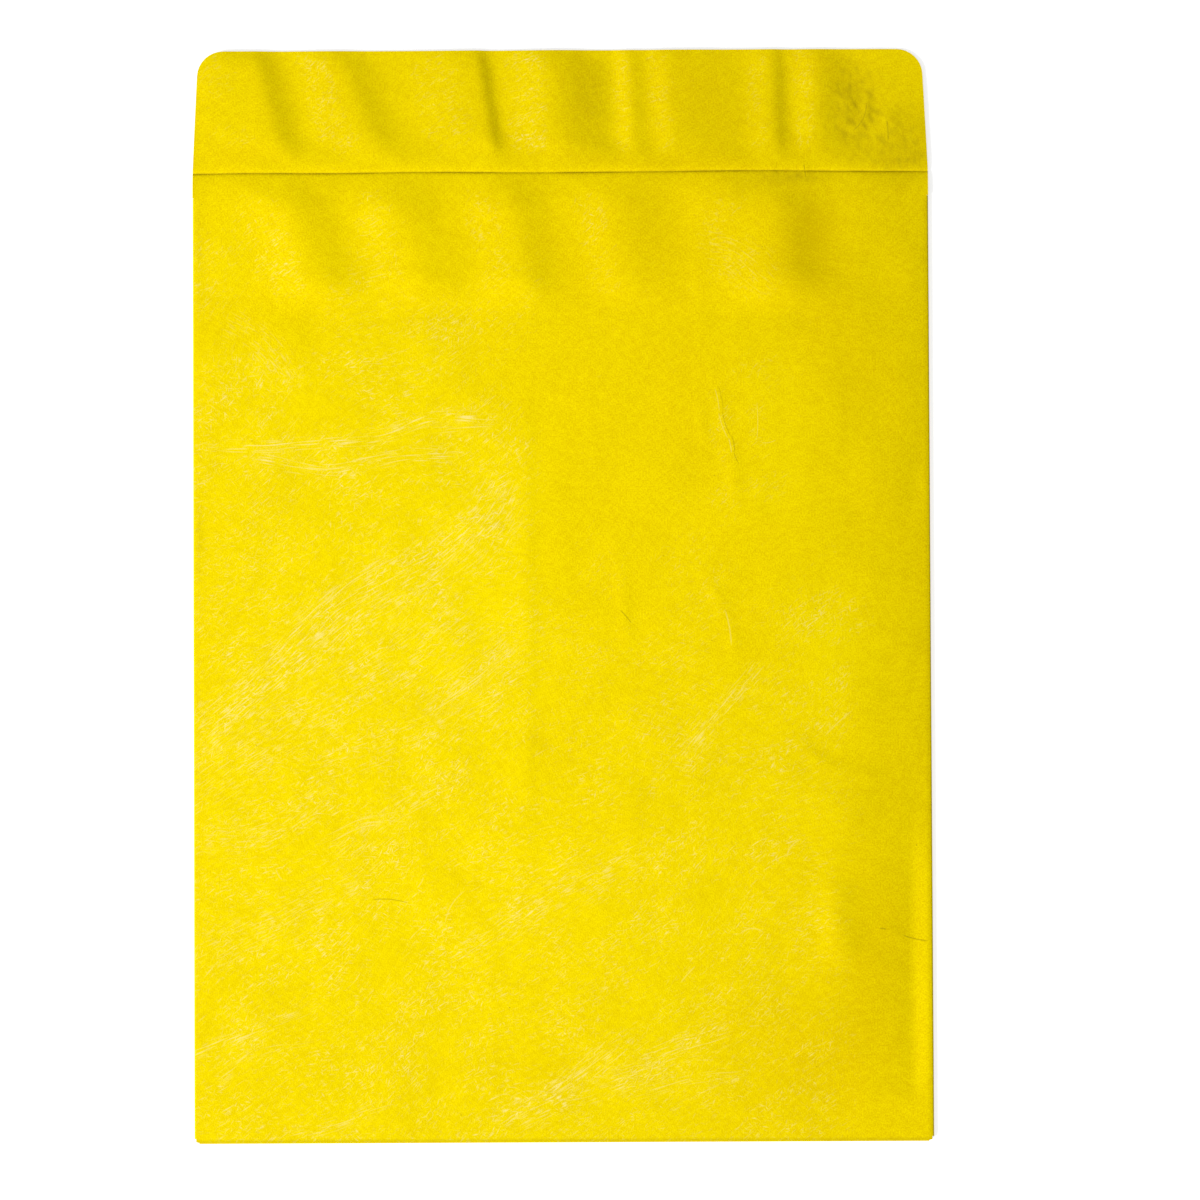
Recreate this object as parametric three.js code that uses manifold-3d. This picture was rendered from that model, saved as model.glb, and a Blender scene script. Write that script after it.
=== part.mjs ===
// Open-end envelope: one die-cut sheet folded into a flat pocket, with its seal flap laid open.
// Millimetres. X runs across the mouth, Y towards the seal flap, Z up from the table it lies on.
// The plain front faces up. The origin is under the middle of the sheet's outline.
import * as THREE from 'three';
import { mergeVertices } from 'three/addons/utils/BufferGeometryUtils.js';
import Module from 'manifold-3d';

// Driving dimensions
const BODY_WIDTH = 241.3;
const BODY_HEIGHT = 317.5;
const FLAP_HEIGHT = 40;
const FLAP_SIDE_TAPER = 2;
const FLAP_CORNER_RADIUS = 8;
const SHEET_THICKNESS = 0.2;
const FOLD_INNER_RADIUS = 0.4;
const SEAM_OVERLAP = 20;
const SEAM_EDGE_GAP = 0.5;
const SEAM_STEP_LENGTH = 6;
const BOTTOM_FLAP_HEIGHT = 34;
const BOTTOM_FLAP_TAPER = 16;
const CORNER_RELIEF = 1;
const THROAT_DROP = 8;
const POCKET_CROWN = 5;
const CROWN_RUN = 120;
const CROWN_FALL_POWER = 4;
const FLAP_SETTLE = 0.9;
const FLAP_DROP = 0.5;

// How finely the curved stretches are divided
const CROWN_STEPS_ACROSS = 24;
const CROWN_STEPS_ALONG = 24;
const ARC_STEPS = 8;

// Places along the sheet, from the bottom fold to the free edge of the seal flap
const bottomEdge = -(BODY_HEIGHT + FLAP_HEIGHT) / 2;
const crease = bottomEdge + BODY_HEIGHT;
const flapEdge = crease + FLAP_HEIGHT;
const throat = crease - THROAT_DROP;

// Layers from the table up: the bottom flap, the back panels, the seam overlap, then the front
const backUnderside = SHEET_THICKNESS;
const frontUnderside = backUnderside + SHEET_THICKNESS + 2 * FOLD_INNER_RADIUS;
const frontTop = frontUnderside + SHEET_THICKNESS;

// The lines where the flat panels end and the round folds begin
const sideFoldRadius = FOLD_INNER_RADIUS + SHEET_THICKNESS;
const bottomFoldRadius = frontTop / 2;
const sideFoldLine = BODY_WIDTH / 2 - sideFoldRadius;
const bottomFoldLine = bottomEdge + bottomFoldRadius;
const backEnd = bottomFoldLine + CORNER_RELIEF;

const UP = Math.PI / 2;
const DOWN = 3 * Math.PI / 2;

const wasm = await Module();
wasm.setup();

// A closed geometry as a solid that can be joined and cut
function toSolid(geometry) {
  geometry.deleteAttribute('normal');
  geometry.deleteAttribute('uv');
  const merged = mergeVertices(geometry);
  return new wasm.Manifold(new wasm.Mesh({
    numProp: 3,
    vertProperties: new Float32Array(merged.attributes.position.array),
    triVerts: new Uint32Array(merged.index.array),
  }));
}

// A solid as a geometry with flat faces
function toGeometry(solid) {
  const mesh = solid.getMesh();
  const geometry = new THREE.BufferGeometry();
  geometry.setAttribute('position', new THREE.BufferAttribute(mesh.vertProperties, 3));
  geometry.setIndex(new THREE.BufferAttribute(mesh.triVerts, 1));
  geometry.computeVertexNormals();
  return geometry;
}

// An upright block with the given outline, taller than the pocket, to trim a panel with
function trimBlock(outline) {
  const height = 2 * (frontTop + POCKET_CROWN);
  const geometry = new THREE.ExtrudeGeometry(outline, {
    depth: height,
    bevelEnabled: false,
    curveSegments: ARC_STEPS,
  });
  geometry.translate(0, 0, -height / 2);
  return toSolid(geometry);
}

// The front's section from the left fold (-1) to the right one (1): a straight slope up to the right,
// which turns over late and falls back to the right fold
function archAt(share) {
  return 1 + share - 2 * Math.max(share, 0) ** CROWN_FALL_POWER;
}

// How far the front stands up at a point: nothing along the folds, most right of the middle of the mouth.
// The seal flap settles back beyond its crease, and its free edge lies a little lower than the front.
function crownAt(x, y) {
  const peak = (1 / (2 * CROWN_FALL_POWER)) ** (1 / (CROWN_FALL_POWER - 1));
  const arch = archAt(x / sideFoldLine) / archAt(peak);
  const rise = THREE.MathUtils.smoothstep(y, bottomFoldLine, bottomFoldLine + CROWN_RUN);
  const settled = THREE.MathUtils.smoothstep(y, crease, flapEdge);
  return POCKET_CROWN * arch * (rise - FLAP_SETTLE * settled) - FLAP_DROP * settled;
}

// The outline of the front panel and the seal flap, with the flap's drawn-in sides and round corners
function frontOutline() {
  const flapHalf = sideFoldLine - FLAP_SIDE_TAPER;
  const sideLean = Math.atan2(FLAP_SIDE_TAPER, FLAP_HEIGHT);
  const cornerY = flapEdge - FLAP_CORNER_RADIUS;
  const cornerX = flapHalf - FLAP_CORNER_RADIUS * (1 - Math.sin(sideLean)) / Math.cos(sideLean);
  const outline = new THREE.Shape();
  outline.moveTo(-sideFoldLine, bottomFoldLine);
  outline.lineTo(sideFoldLine, bottomFoldLine);
  outline.lineTo(sideFoldLine, crease);
  outline.absarc(cornerX, cornerY, FLAP_CORNER_RADIUS, sideLean, UP, false);
  outline.absarc(-cornerX, cornerY, FLAP_CORNER_RADIUS, UP, Math.PI - sideLean, false);
  outline.lineTo(-sideFoldLine, crease);
  return outline;
}

// The front panel with the seal flap carrying straight on from it, as a flat slab that is then crowned
function frontAndFlap() {
  const geometry = new THREE.BoxGeometry(1, 1, 1, CROWN_STEPS_ACROSS, CROWN_STEPS_ALONG, 1);
  const points = geometry.attributes.position;
  for (let i = 0; i < points.count; i += 1) {
    const x = THREE.MathUtils.lerp(-sideFoldLine, sideFoldLine, points.getX(i) + 0.5);
    const y = THREE.MathUtils.lerp(bottomFoldLine, flapEdge, points.getY(i) + 0.5);
    const z = THREE.MathUtils.lerp(frontUnderside, frontTop, points.getZ(i) + 0.5);
    points.setXYZ(i, x, y, z + crownAt(x, y));
  }
  return toSolid(geometry).intersect(trimBlock(frontOutline()));
}

// A left side fold with its back panel, which steps up by seamLift where it crosses the seam
function sidePanel(seamLift) {
  const freeEdge = SEAM_OVERLAP / 2;
  const stepTop = -SEAM_OVERLAP / 2 - SEAM_EDGE_GAP;
  const stepFoot = stepTop - SEAM_STEP_LENGTH;
  const backTop = backUnderside + SHEET_THICKNESS;
  const foldCentre = backTop + FOLD_INNER_RADIUS;
  const section = new THREE.Shape();
  section.absarc(-sideFoldLine, foldCentre, sideFoldRadius, UP, DOWN, false);
  section.lineTo(stepFoot, backUnderside);
  section.lineTo(stepTop, backUnderside + seamLift);
  section.lineTo(freeEdge, backUnderside + seamLift);
  section.lineTo(freeEdge, backTop + seamLift);
  section.lineTo(stepTop, backTop + seamLift);
  section.lineTo(stepFoot, backTop);
  section.absarc(-sideFoldLine, foldCentre, FOLD_INNER_RADIUS, DOWN, UP, true);
  const depth = throat - backEnd;
  const geometry = new THREE.ExtrudeGeometry(section, {
    depth,
    bevelEnabled: false,
    curveSegments: ARC_STEPS,
  });
  geometry.rotateX(UP);
  geometry.translate(0, depth / 2, 0);
  return geometry;
}

// The left back panel lies outside at the seam, and the right one is turned about and laid over it
function backPanels() {
  const middle = (throat + backEnd) / 2;
  const left = sidePanel(0);
  const right = sidePanel(SHEET_THICKNESS).rotateZ(Math.PI);
  left.translate(0, middle, 0);
  right.translate(0, middle, 0);
  return toSolid(left).add(toSolid(right));
}

// The outline of the bottom flap, short of the side folds and drawn in towards its free edge
function bottomFlapOutline() {
  const freeEdge = bottomEdge + BOTTOM_FLAP_HEIGHT;
  const foldHalf = sideFoldLine - CORNER_RELIEF;
  const freeHalf = foldHalf - BOTTOM_FLAP_TAPER;
  const outline = new THREE.Shape();
  outline.moveTo(-foldHalf, bottomEdge);
  outline.lineTo(foldHalf, bottomEdge);
  outline.lineTo(foldHalf, bottomFoldLine);
  outline.lineTo(freeHalf, freeEdge);
  outline.lineTo(-freeHalf, freeEdge);
  outline.lineTo(-foldHalf, bottomFoldLine);
  return outline;
}

// The bottom fold with the flap that closes the pocket, glued up over the outside of the back
function bottomFlap() {
  const innerRadius = bottomFoldRadius - SHEET_THICKNESS;
  const freeEdge = bottomEdge + BOTTOM_FLAP_HEIGHT;
  const section = new THREE.Shape();
  section.absarc(bottomFoldLine, bottomFoldRadius, bottomFoldRadius, UP, DOWN, false);
  section.lineTo(freeEdge, 0);
  section.lineTo(freeEdge, SHEET_THICKNESS);
  section.absarc(bottomFoldLine, bottomFoldRadius, innerRadius, DOWN, UP, true);
  const geometry = new THREE.ExtrudeGeometry(section, {
    depth: 2 * sideFoldLine,
    bevelEnabled: false,
    curveSegments: ARC_STEPS,
  });
  const alongX = new THREE.Matrix4().makeBasis(
    new THREE.Vector3(0, 1, 0), new THREE.Vector3(0, 0, 1), new THREE.Vector3(1, 0, 0),
  );
  geometry.applyMatrix4(alongX);
  geometry.translate(-sideFoldLine, 0, 0);
  return toSolid(geometry).intersect(trimBlock(bottomFlapOutline()));
}

const foldedSheet = frontAndFlap().add(backPanels()).add(bottomFlap());

const spunSheet = new THREE.MeshStandardMaterial({
  color: 0xf2d70a,
  roughness: 0.6,
  metalness: 0,
});

const envelope = new THREE.Group();
const envelopeSheet = new THREE.Mesh(toGeometry(foldedSheet), spunSheet);
envelopeSheet.name = 'envelope_sheet';
envelope.add(envelopeSheet);

export default envelope;
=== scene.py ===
import math

import bpy
import numpy as np
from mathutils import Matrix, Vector


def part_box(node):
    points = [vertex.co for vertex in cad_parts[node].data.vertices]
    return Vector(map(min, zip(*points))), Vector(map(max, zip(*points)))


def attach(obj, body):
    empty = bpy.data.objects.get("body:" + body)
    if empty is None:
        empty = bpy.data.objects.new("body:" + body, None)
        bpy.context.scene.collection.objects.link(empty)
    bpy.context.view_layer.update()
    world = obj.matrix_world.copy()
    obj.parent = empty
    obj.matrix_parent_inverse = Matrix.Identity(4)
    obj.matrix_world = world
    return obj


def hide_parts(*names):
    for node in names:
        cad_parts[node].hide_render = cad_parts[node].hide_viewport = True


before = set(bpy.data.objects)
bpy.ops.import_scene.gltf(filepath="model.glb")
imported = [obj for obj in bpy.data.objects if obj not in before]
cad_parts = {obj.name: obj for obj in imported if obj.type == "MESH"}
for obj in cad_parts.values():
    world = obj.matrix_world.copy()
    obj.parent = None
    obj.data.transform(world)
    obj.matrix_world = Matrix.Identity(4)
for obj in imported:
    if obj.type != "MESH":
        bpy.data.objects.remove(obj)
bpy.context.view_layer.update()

# The blank: one sheet of yellow spun-bonded polyethylene, die-cut flat before anything is folded.
# Its centre column holds the bottom flap, the front and the seal flap, and a wing on each side is
# wide enough to become half of the back and lap over the other. Sizes are in millimetres.
MM = 0.001
SHEET_THICKNESS = 0.2
FOLD_INNER_RADIUS = 0.4
LAYER_GAP = 0.03
FLAP_HEIGHT = 40.0
FLAP_SIDE_TAPER = 2.0
FLAP_CORNER_RADIUS = 8.0
THROAT_DROP = 8.0
SEAM_OVERLAP = 20.0
SEAM_EDGE_GAP = 0.5
SEAM_STEP_LENGTH = 6.0
BOTTOM_FLAP_HEIGHT = 34.0
BOTTOM_FLAP_TAPER = 16.0
CORNER_RELIEF = 1.0
SIDE_SPREAD = 0.4
THROAT_SLIT = 0.12

sheet_low, sheet_high = [np.array(corner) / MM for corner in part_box("envelope_sheet")]
half_width = sheet_high[0]
bottom_edge = sheet_low[1]
flap_tip = sheet_high[1]
crease = flap_tip - FLAP_HEIGHT
throat = crease - THROAT_DROP

back_inner_level = 2 * SHEET_THICKNESS + LAYER_GAP
front_inner_level = back_inner_level + 2 * FOLD_INNER_RADIUS
bottom_fold_radius = (front_inner_level - SHEET_THICKNESS) / 2
side_fold = half_width - FOLD_INNER_RADIUS - SHEET_THICKNESS
bottom_fold = bottom_edge + bottom_fold_radius + SHEET_THICKNESS
side_arc = math.pi * FOLD_INNER_RADIUS
bottom_arc = math.pi * bottom_fold_radius
back_reach = side_fold + SEAM_OVERLAP / 2
bottom_reach = BOTTOM_FLAP_HEIGHT - bottom_fold_radius - SHEET_THICKNESS


def stretch(start, stop, step):
    """Evenly spaced grid lines from start to stop, about a step apart, without the last one."""
    return np.linspace(start, stop, max(2, round(abs(stop - start) / step) + 1))[:-1]


ROW_STEP = 1.75
FLAP_ROW_STEP = 1.3
BOTTOM_FLAP_ROW_STEP = 4.0
COLUMN_STEP = 1.5
WING_COLUMN_STEP = 9.0
LAP_COLUMN_STEP = 7.0
LAP_RISE_COLUMN_STEP = 2.0
FOLD_STEPS = 8
CORNER_STEPS = 9
CREASE_ROWS = np.array([0.15, 0.35, 0.6, 1.0, 1.6, 2.4])
CREASE_BAND = 3.2
HAIR = 1e-6

bottom_free_edge = bottom_fold - bottom_arc - bottom_reach
wing_foot = bottom_fold + CORNER_RELIEF
corner_start = flap_tip - FLAP_CORNER_RADIUS
corner_turn = np.linspace(0, math.pi / 2, CORNER_STEPS)
rows = np.concatenate([
    stretch(bottom_free_edge, bottom_fold - bottom_arc, BOTTOM_FLAP_ROW_STEP),
    stretch(bottom_fold - bottom_arc, bottom_fold, bottom_arc / FOLD_STEPS),
    [bottom_fold],
    stretch(wing_foot, throat, ROW_STEP),
    [throat],
    stretch(throat + THROAT_SLIT, crease - CREASE_BAND, FLAP_ROW_STEP),
    [crease - CREASE_BAND],
    crease - CREASE_ROWS[::-1],
    [crease],
    crease + CREASE_ROWS,
    stretch(crease + CREASE_BAND, corner_start, FLAP_ROW_STEP),
    corner_start + FLAP_CORNER_RADIUS * np.sin(corner_turn),
])
seam_foot = back_reach - SEAM_OVERLAP - SEAM_EDGE_GAP - SEAM_STEP_LENGTH
wing_columns = np.concatenate([
    stretch(0, side_arc, side_arc / FOLD_STEPS)[1:],
    side_arc + stretch(0, seam_foot, WING_COLUMN_STEP),
    side_arc + stretch(seam_foot, seam_foot + SEAM_STEP_LENGTH, LAP_RISE_COLUMN_STEP),
    side_arc + stretch(seam_foot + SEAM_STEP_LENGTH, back_reach, LAP_COLUMN_STEP),
    [side_arc + back_reach],
])
column_count = round(2 * side_fold / COLUMN_STEP)
centre_columns = np.linspace(-1, 1, column_count + 1)


def side_fold_at(v):
    """The side fold's distance from the middle: the body is a little wider at its bottom end."""
    return side_fold - SIDE_SPREAD * v / flap_tip


def centre_half_width(v):
    """How far the centre column reaches to each side on the row v."""
    if v < bottom_fold:
        into_flap = max(0.0, bottom_fold - bottom_arc - v) / bottom_reach
        return side_fold_at(bottom_fold) - CORNER_RELIEF - BOTTOM_FLAP_TAPER * into_flap
    if v <= throat:
        return side_fold_at(v)
    free_half = half_width - SIDE_SPREAD * v / flap_tip
    if v <= crease:
        return free_half
    tapered = free_half - FLAP_SIDE_TAPER * (v - crease) / FLAP_HEIGHT
    into_corner = max(0.0, v - corner_start)
    round_reach = math.sqrt(max(0.0, FLAP_CORNER_RADIUS ** 2 - into_corner ** 2))
    return tapered - FLAP_CORNER_RADIUS + round_reach


wing_rows = (rows > bottom_fold + CORNER_RELIEF / 2) & (rows < throat + HAIR)
plan = []
index_at = {}
for i, v in enumerate(rows):
    reach = centre_half_width(v)
    row_columns = list(reach * centre_columns)
    first = 0
    if wing_rows[i]:
        row_columns = list(-reach - wing_columns[::-1]) + row_columns + list(reach + wing_columns)
        first = -len(wing_columns)
    for j, u in enumerate(row_columns):
        index_at[i, first + j] = len(plan)
        plan.append((u, v))
plan = np.array(plan)
cells = [
    (index_at[i, j], index_at[i, j + 1], index_at[i + 1, j + 1], index_at[i + 1, j])
    for i in range(len(rows) - 1)
    for j in range(-len(wing_columns), column_count + len(wing_columns))
    if all(corner in index_at for corner in ((i, j), (i, j + 1), (i + 1, j), (i + 1, j + 1)))
]
across, along = plan.T
on_front = (np.abs(across) <= half_width) & (along >= bottom_fold)

# Handling marks: the sheet is limp, so carrying and packing have left it rippled and dented. Soft
# ripples stand across the seal flap and below the crease, with finer wrinkles down the right side.
# Places are pixels of the photograph, turned to millimetres on the sheet.
PHOTO_SCALE = 3.056
PHOTO_MIDDLE = (562.0, 596.5)
PHOTO_TURN = 0.00436


def from_photo(pixel_x, pixel_y):
    """A photograph pixel as a place on the lying sheet, in millimetres."""
    right = (pixel_x - PHOTO_MIDDLE[0]) / PHOTO_SCALE
    up = (PHOTO_MIDDLE[1] - pixel_y) / PHOTO_SCALE
    return np.array([right + PHOTO_TURN * up, up - PHOTO_TURN * right])


def ease(x):
    """A smooth step from 0 to 1 as x goes from 0 to 1."""
    x = np.clip(x, 0, 1)
    return x * x * (3 - 2 * x)


def window(x, low, high, fade):
    """1 between low and high, fading out over the given distance outside them."""
    return ease((x - low) / fade + 1) * ease((high - x) / fade + 1)


def ridge(offset, left, right):
    """A bell-shaped ridge with its own width on each flank."""
    return np.exp(-0.5 * (offset / np.where(offset < 0, left, right)) ** 2)


WAVE_COUNT = 28
SHORTEST_WAVE = 0.75
LONGEST_WAVE = 1.5


def waves(seed, wavelength):
    """A random rolling surface about one unit high, with ripples near the given wavelength."""
    rng = np.random.default_rng(seed)
    total = np.zeros(len(plan))
    for _ in range(WAVE_COUNT):
        heading = rng.uniform(0, 2 * math.pi)
        length = wavelength * rng.uniform(SHORTEST_WAVE, LONGEST_WAVE)
        phase = rng.uniform(0, 2 * math.pi)
        run = across * math.cos(heading) + along * math.sin(heading)
        total += np.sin(2 * math.pi * run / length + phase)
    return total * math.sqrt(2 / WAVE_COUNT)


# Each ripple: pixel of its top at mid height, lean, left and right flank, height in mm
FLAP_RIPPLE_LINE = 110
FLAP_RIPPLES = (
    (266, 0.28, 13.0, 4.6, 1.55),
    (357, 0.40, 9.5, 5.5, 1.15),
    (485, 0.16, 13.0, 2.0, 1.2),
    (556, 0.03, 8.0, 11.0, 1.4),
    (606, 0.05, 9.0, 5.5, -0.7),
    (631, 0.05, 2.6, 2.8, 0.55),
    (675, 0.08, 4.5, 13.0, 0.9),
    (773, 0.03, 5.0, 2.3, 0.9),
    (818, 0.00, 4.5, 5.0, 0.85),
)
BODY_RIPPLE_LINE = 245
BODY_RIPPLES = (
    (305, 0.35, 10.0, 9.0, 1.3),
    (410, 0.30, 10.0, 9.0, 1.2),
    (516, 0.15, 10.5, 6.5, 1.25),
    (622, 0.20, 7.5, 9.0, 0.85),
    (778, 0.20, 16.0, 8.0, 1.5),
)


def ripple_field(ripples, photo_line, shift=0.0):
    """The height of a row of ripples over the whole sheet, read a little to one side."""
    total = np.zeros(len(plan))
    for pixel, lean, left, right, height in ripples:
        top_x, top_y = from_photo(pixel, photo_line)
        total += height * ridge(across + shift - top_x - lean * (top_y - along), left, right)
    return total


# The flap's ripples stand off the crease and sink a little between their tops, and the body's die out below
RIPPLE_SINK = 0.5
SINK_LEFT = from_photo(250, 0)[0]
SINK_RIGHT = from_photo(850, 0)[0]
SINK_FADE = 15.0
FLAP_RIPPLES_OFF_CREASE = 12.0
FLAP_RIPPLES_OFF_TIP = 5.0
FLAP_RIPPLES_FADE = 10.0
BODY_RIPPLES_OFF_CREASE = 13.0
BODY_RIPPLES_LOW = from_photo(0, 278)[1]
BODY_RIPPLES_FADE = 14.0
SLOPE_REACH = 0.5
sunk = window(across, SINK_LEFT, SINK_RIGHT, SINK_FADE)
flap_reach = window(
    along, crease + FLAP_RIPPLES_OFF_CREASE, flap_tip - FLAP_RIPPLES_OFF_TIP, FLAP_RIPPLES_FADE,
)
body_reach = window(along, BODY_RIPPLES_LOW, crease - BODY_RIPPLES_OFF_CREASE, BODY_RIPPLES_FADE)


def ripples_at(shift):
    """All the ripples together, read a little to one side."""
    flap = (ripple_field(FLAP_RIPPLES, FLAP_RIPPLE_LINE, shift) - RIPPLE_SINK * sunk) * flap_reach
    return flap + ripple_field(BODY_RIPPLES, BODY_RIPPLE_LINE, shift) * body_reach


relief = ripples_at(0.0)
left_slope = (ripples_at(SLOPE_REACH) - ripples_at(-SLOPE_REACH)) / (2 * SLOPE_REACH) * on_front

# Each wrinkle: the pixels it runs through, flank width and height in mm
WRINKLES = (
    (((715, 385), (722, 420), (733, 470), (736, 505)), 1.6, 0.16),
    (((698, 400), (704, 440)), 1.3, 0.10),
    (((765, 478), (752, 512)), 1.2, 0.10),
    (((616, 545), (622, 590), (628, 650)), 1.5, 0.12),
    (((703, 565), (722, 610), (738, 655)), 1.5, 0.14),
    (((796, 738), (822, 762), (850, 770), (878, 776)), 1.3, 0.16),
    (((842, 880), (838, 920), (846, 962)), 3.5, 0.35),
    (((876, 931), (886, 927), (896, 934), (908, 940), (931, 941)), 0.9, 0.16),
    (((866, 98), (867, 110), (863, 121), (850, 132)), 0.8, 0.4),
    (((846, 92), (850, 112), (840, 128)), 2.2, 0.3),
    (((888, 112), (894, 140)), 1.4, 0.2),
    (((553, 173), (585, 225), (622, 280)), 0.6, 0.035),
    (((772, 166), (772, 177)), 0.5, 0.15),
    (((804, 163), (806, 180)), 0.6, 0.2),
)
PATH_STEP = 0.8


def smooth_path(pixels):
    """An even run of places, in millimetres, on a smooth curve through the pixels."""
    knots = np.array([from_photo(*pixel) for pixel in pixels])
    knots = np.vstack([2 * knots[0] - knots[1], knots, 2 * knots[-1] - knots[-2]])
    path = []
    for a, b, c, d in zip(knots, knots[1:], knots[2:], knots[3:]):
        count = max(2, round(np.linalg.norm(c - b) / PATH_STEP))
        t = np.arange(count)[:, None] / count
        bend = 2 * a - 5 * b + 4 * c - d + t * (3 * (b - c) + d - a)
        path.append(b + 0.5 * t * (c - a + t * bend))
    path.append(knots[-2:-1])
    return np.vstack(path)


def along_path(path, margin):
    """The places within margin of a path, how far along and left of it they lie, and its length."""
    low = path.min(0) - margin
    high = path.max(0) + margin
    near = np.flatnonzero(on_front & np.all((plan > low) & (plan < high), axis=1))
    spans = np.diff(path, axis=0)
    lengths = np.linalg.norm(spans, axis=1)
    starts = np.concatenate([[0], np.cumsum(lengths)[:-1]])
    rel = plan[near][:, None, :] - path[None, :-1, :]
    t = np.einsum("nsk,sk->ns", rel, spans) / lengths ** 2
    inner = np.clip(t, 0, 1)
    gap = rel - inner[:, :, None] * spans[None]
    best = np.argmin(np.einsum("nsk,nsk->ns", gap, gap), axis=1)
    pick = np.arange(len(near))
    t = t[pick, best]
    beyond_ends = (best == 0) & (t < 0) | (best == len(spans) - 1) & (t > 1)
    t = np.where(beyond_ends, t, np.clip(t, 0, 1))
    side = (spans[best, 0] * rel[pick, best, 1] - spans[best, 1] * rel[pick, best, 0]) / lengths[best]
    return near, starts[best] + t * lengths[best], side, lengths.sum()


WRINKLE_MARGIN = 4.0
WRINKLE_FULL_FROM = 0.2
WRINKLE_FULL_TO = 0.8
WRINKLE_FADE = 0.3
for pixels, flank, height in WRINKLES:
    near, run, offset, length = along_path(smooth_path(pixels), WRINKLE_MARGIN * flank)
    ends = window(run / length, WRINKLE_FULL_FROM, WRINKLE_FULL_TO, WRINKLE_FADE)
    relief[near] += height * ridge(offset, flank, flank) * ends

# The line that the back seam prints through
SEAM_PRINT_X = from_photo(528, 600)[0]
SEAM_PRINT_HEIGHT = 0.12
SEAM_PRINT_LEFT_FLANK = 5.0
SEAM_PRINT_RIGHT_FLANK = 1.4
SEAM_PRINT_LOW = -60.0
SEAM_PRINT_HIGH = 45.0
SEAM_PRINT_FADE = 40.0
seam_print = ridge(across - SEAM_PRINT_X, SEAM_PRINT_LEFT_FLANK, SEAM_PRINT_RIGHT_FLANK)
relief += SEAM_PRINT_HEIGHT * seam_print * window(along, SEAM_PRINT_LOW, SEAM_PRINT_HIGH, SEAM_PRINT_FADE)

# Low on the right the front swells up and comes down to a line beside the fold, where it has been bent
BEND_X = from_photo(912, 960)[0]
BEND_LOW = from_photo(912, 1100)[1]
BEND_HIGH = from_photo(912, 800)[1]
BEND_LOW_FADE = 9.0
BEND_HIGH_FADE = 30.0
BEND_DEPTH = 0.42
BEND_FLANK = 9.0
SWELL_LOW = from_photo(912, 1000)[1]
SWELL_HIGH = from_photo(912, 850)[1]
SWELL_FADE = 42.0
SWELL_HEIGHT = 1.1
SWELL_RUN = 26.0
SWELL_TAIL = 190.0
past_bend = across - BEND_X
bend = np.exp(np.minimum(past_bend, 0) / BEND_FLANK)
swell = np.sin(math.pi / 2 * np.clip(-past_bend / SWELL_RUN, 0, 1)) * ease(1 + past_bend / SWELL_TAIL)
bend_ends = ease((along - BEND_LOW) / BEND_LOW_FADE) * ease((BEND_HIGH - along) / BEND_HIGH_FADE)
relief -= BEND_DEPTH * bend * bend_ends
relief += SWELL_HEIGHT * swell * window(along, SWELL_LOW, SWELL_HIGH, SWELL_FADE)

# The crease between front and flap: a scored valley with a thin, slightly broken groove along it
CREASE_DEPTH = 0.45
CREASE_FLANK = 2.6
GROOVE_DEPTH = 0.3
GROOVE_FLANK = 0.28
GROOVE_BREAK = 0.2
GROOVE_BREAK_RUN = 7.0
GROOVE_BREAK_WOBBLE = 3.1
WANDER = 0.12
WANDER_FLANK = 5.0
off_crease = along - crease
crease_wander = WANDER * waves(seed=11, wavelength=60.0) * ridge(off_crease, WANDER_FLANK, WANDER_FLANK)
groove_breaks = np.sin(across / GROOVE_BREAK_RUN + np.sin(across / GROOVE_BREAK_WOBBLE))
groove = (1 - GROOVE_BREAK + GROOVE_BREAK * groove_breaks) * ridge(off_crease, GROOVE_FLANK, GROOVE_FLANK)
relief -= CREASE_DEPTH * np.exp(-np.abs(off_crease) / CREASE_FLANK) + GROOVE_DEPTH * groove

# The sheet is nowhere quite flat. All the marks die out at the folds, but not at the flap's free edges
BROAD_DENTS = 0.055
FINE_DENTS = 0.02
SIDE_FOLD_FADE = 6.0
BOTTOM_FOLD_FADE = 8.0
FREE_EDGE_FADE = 6.0
relief += BROAD_DENTS * waves(seed=3, wavelength=26.0) + FINE_DENTS * waves(seed=5, wavelength=9.0)
off_side_folds = ease((side_fold - np.abs(across)) / SIDE_FOLD_FADE)
off_bottom_fold = ease((along - bottom_fold) / BOTTOM_FOLD_FADE)
free_edges = ease((along - throat) / FREE_EDGE_FADE)
relief *= on_front * np.maximum(off_side_folds * off_bottom_fold, free_edges)

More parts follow.
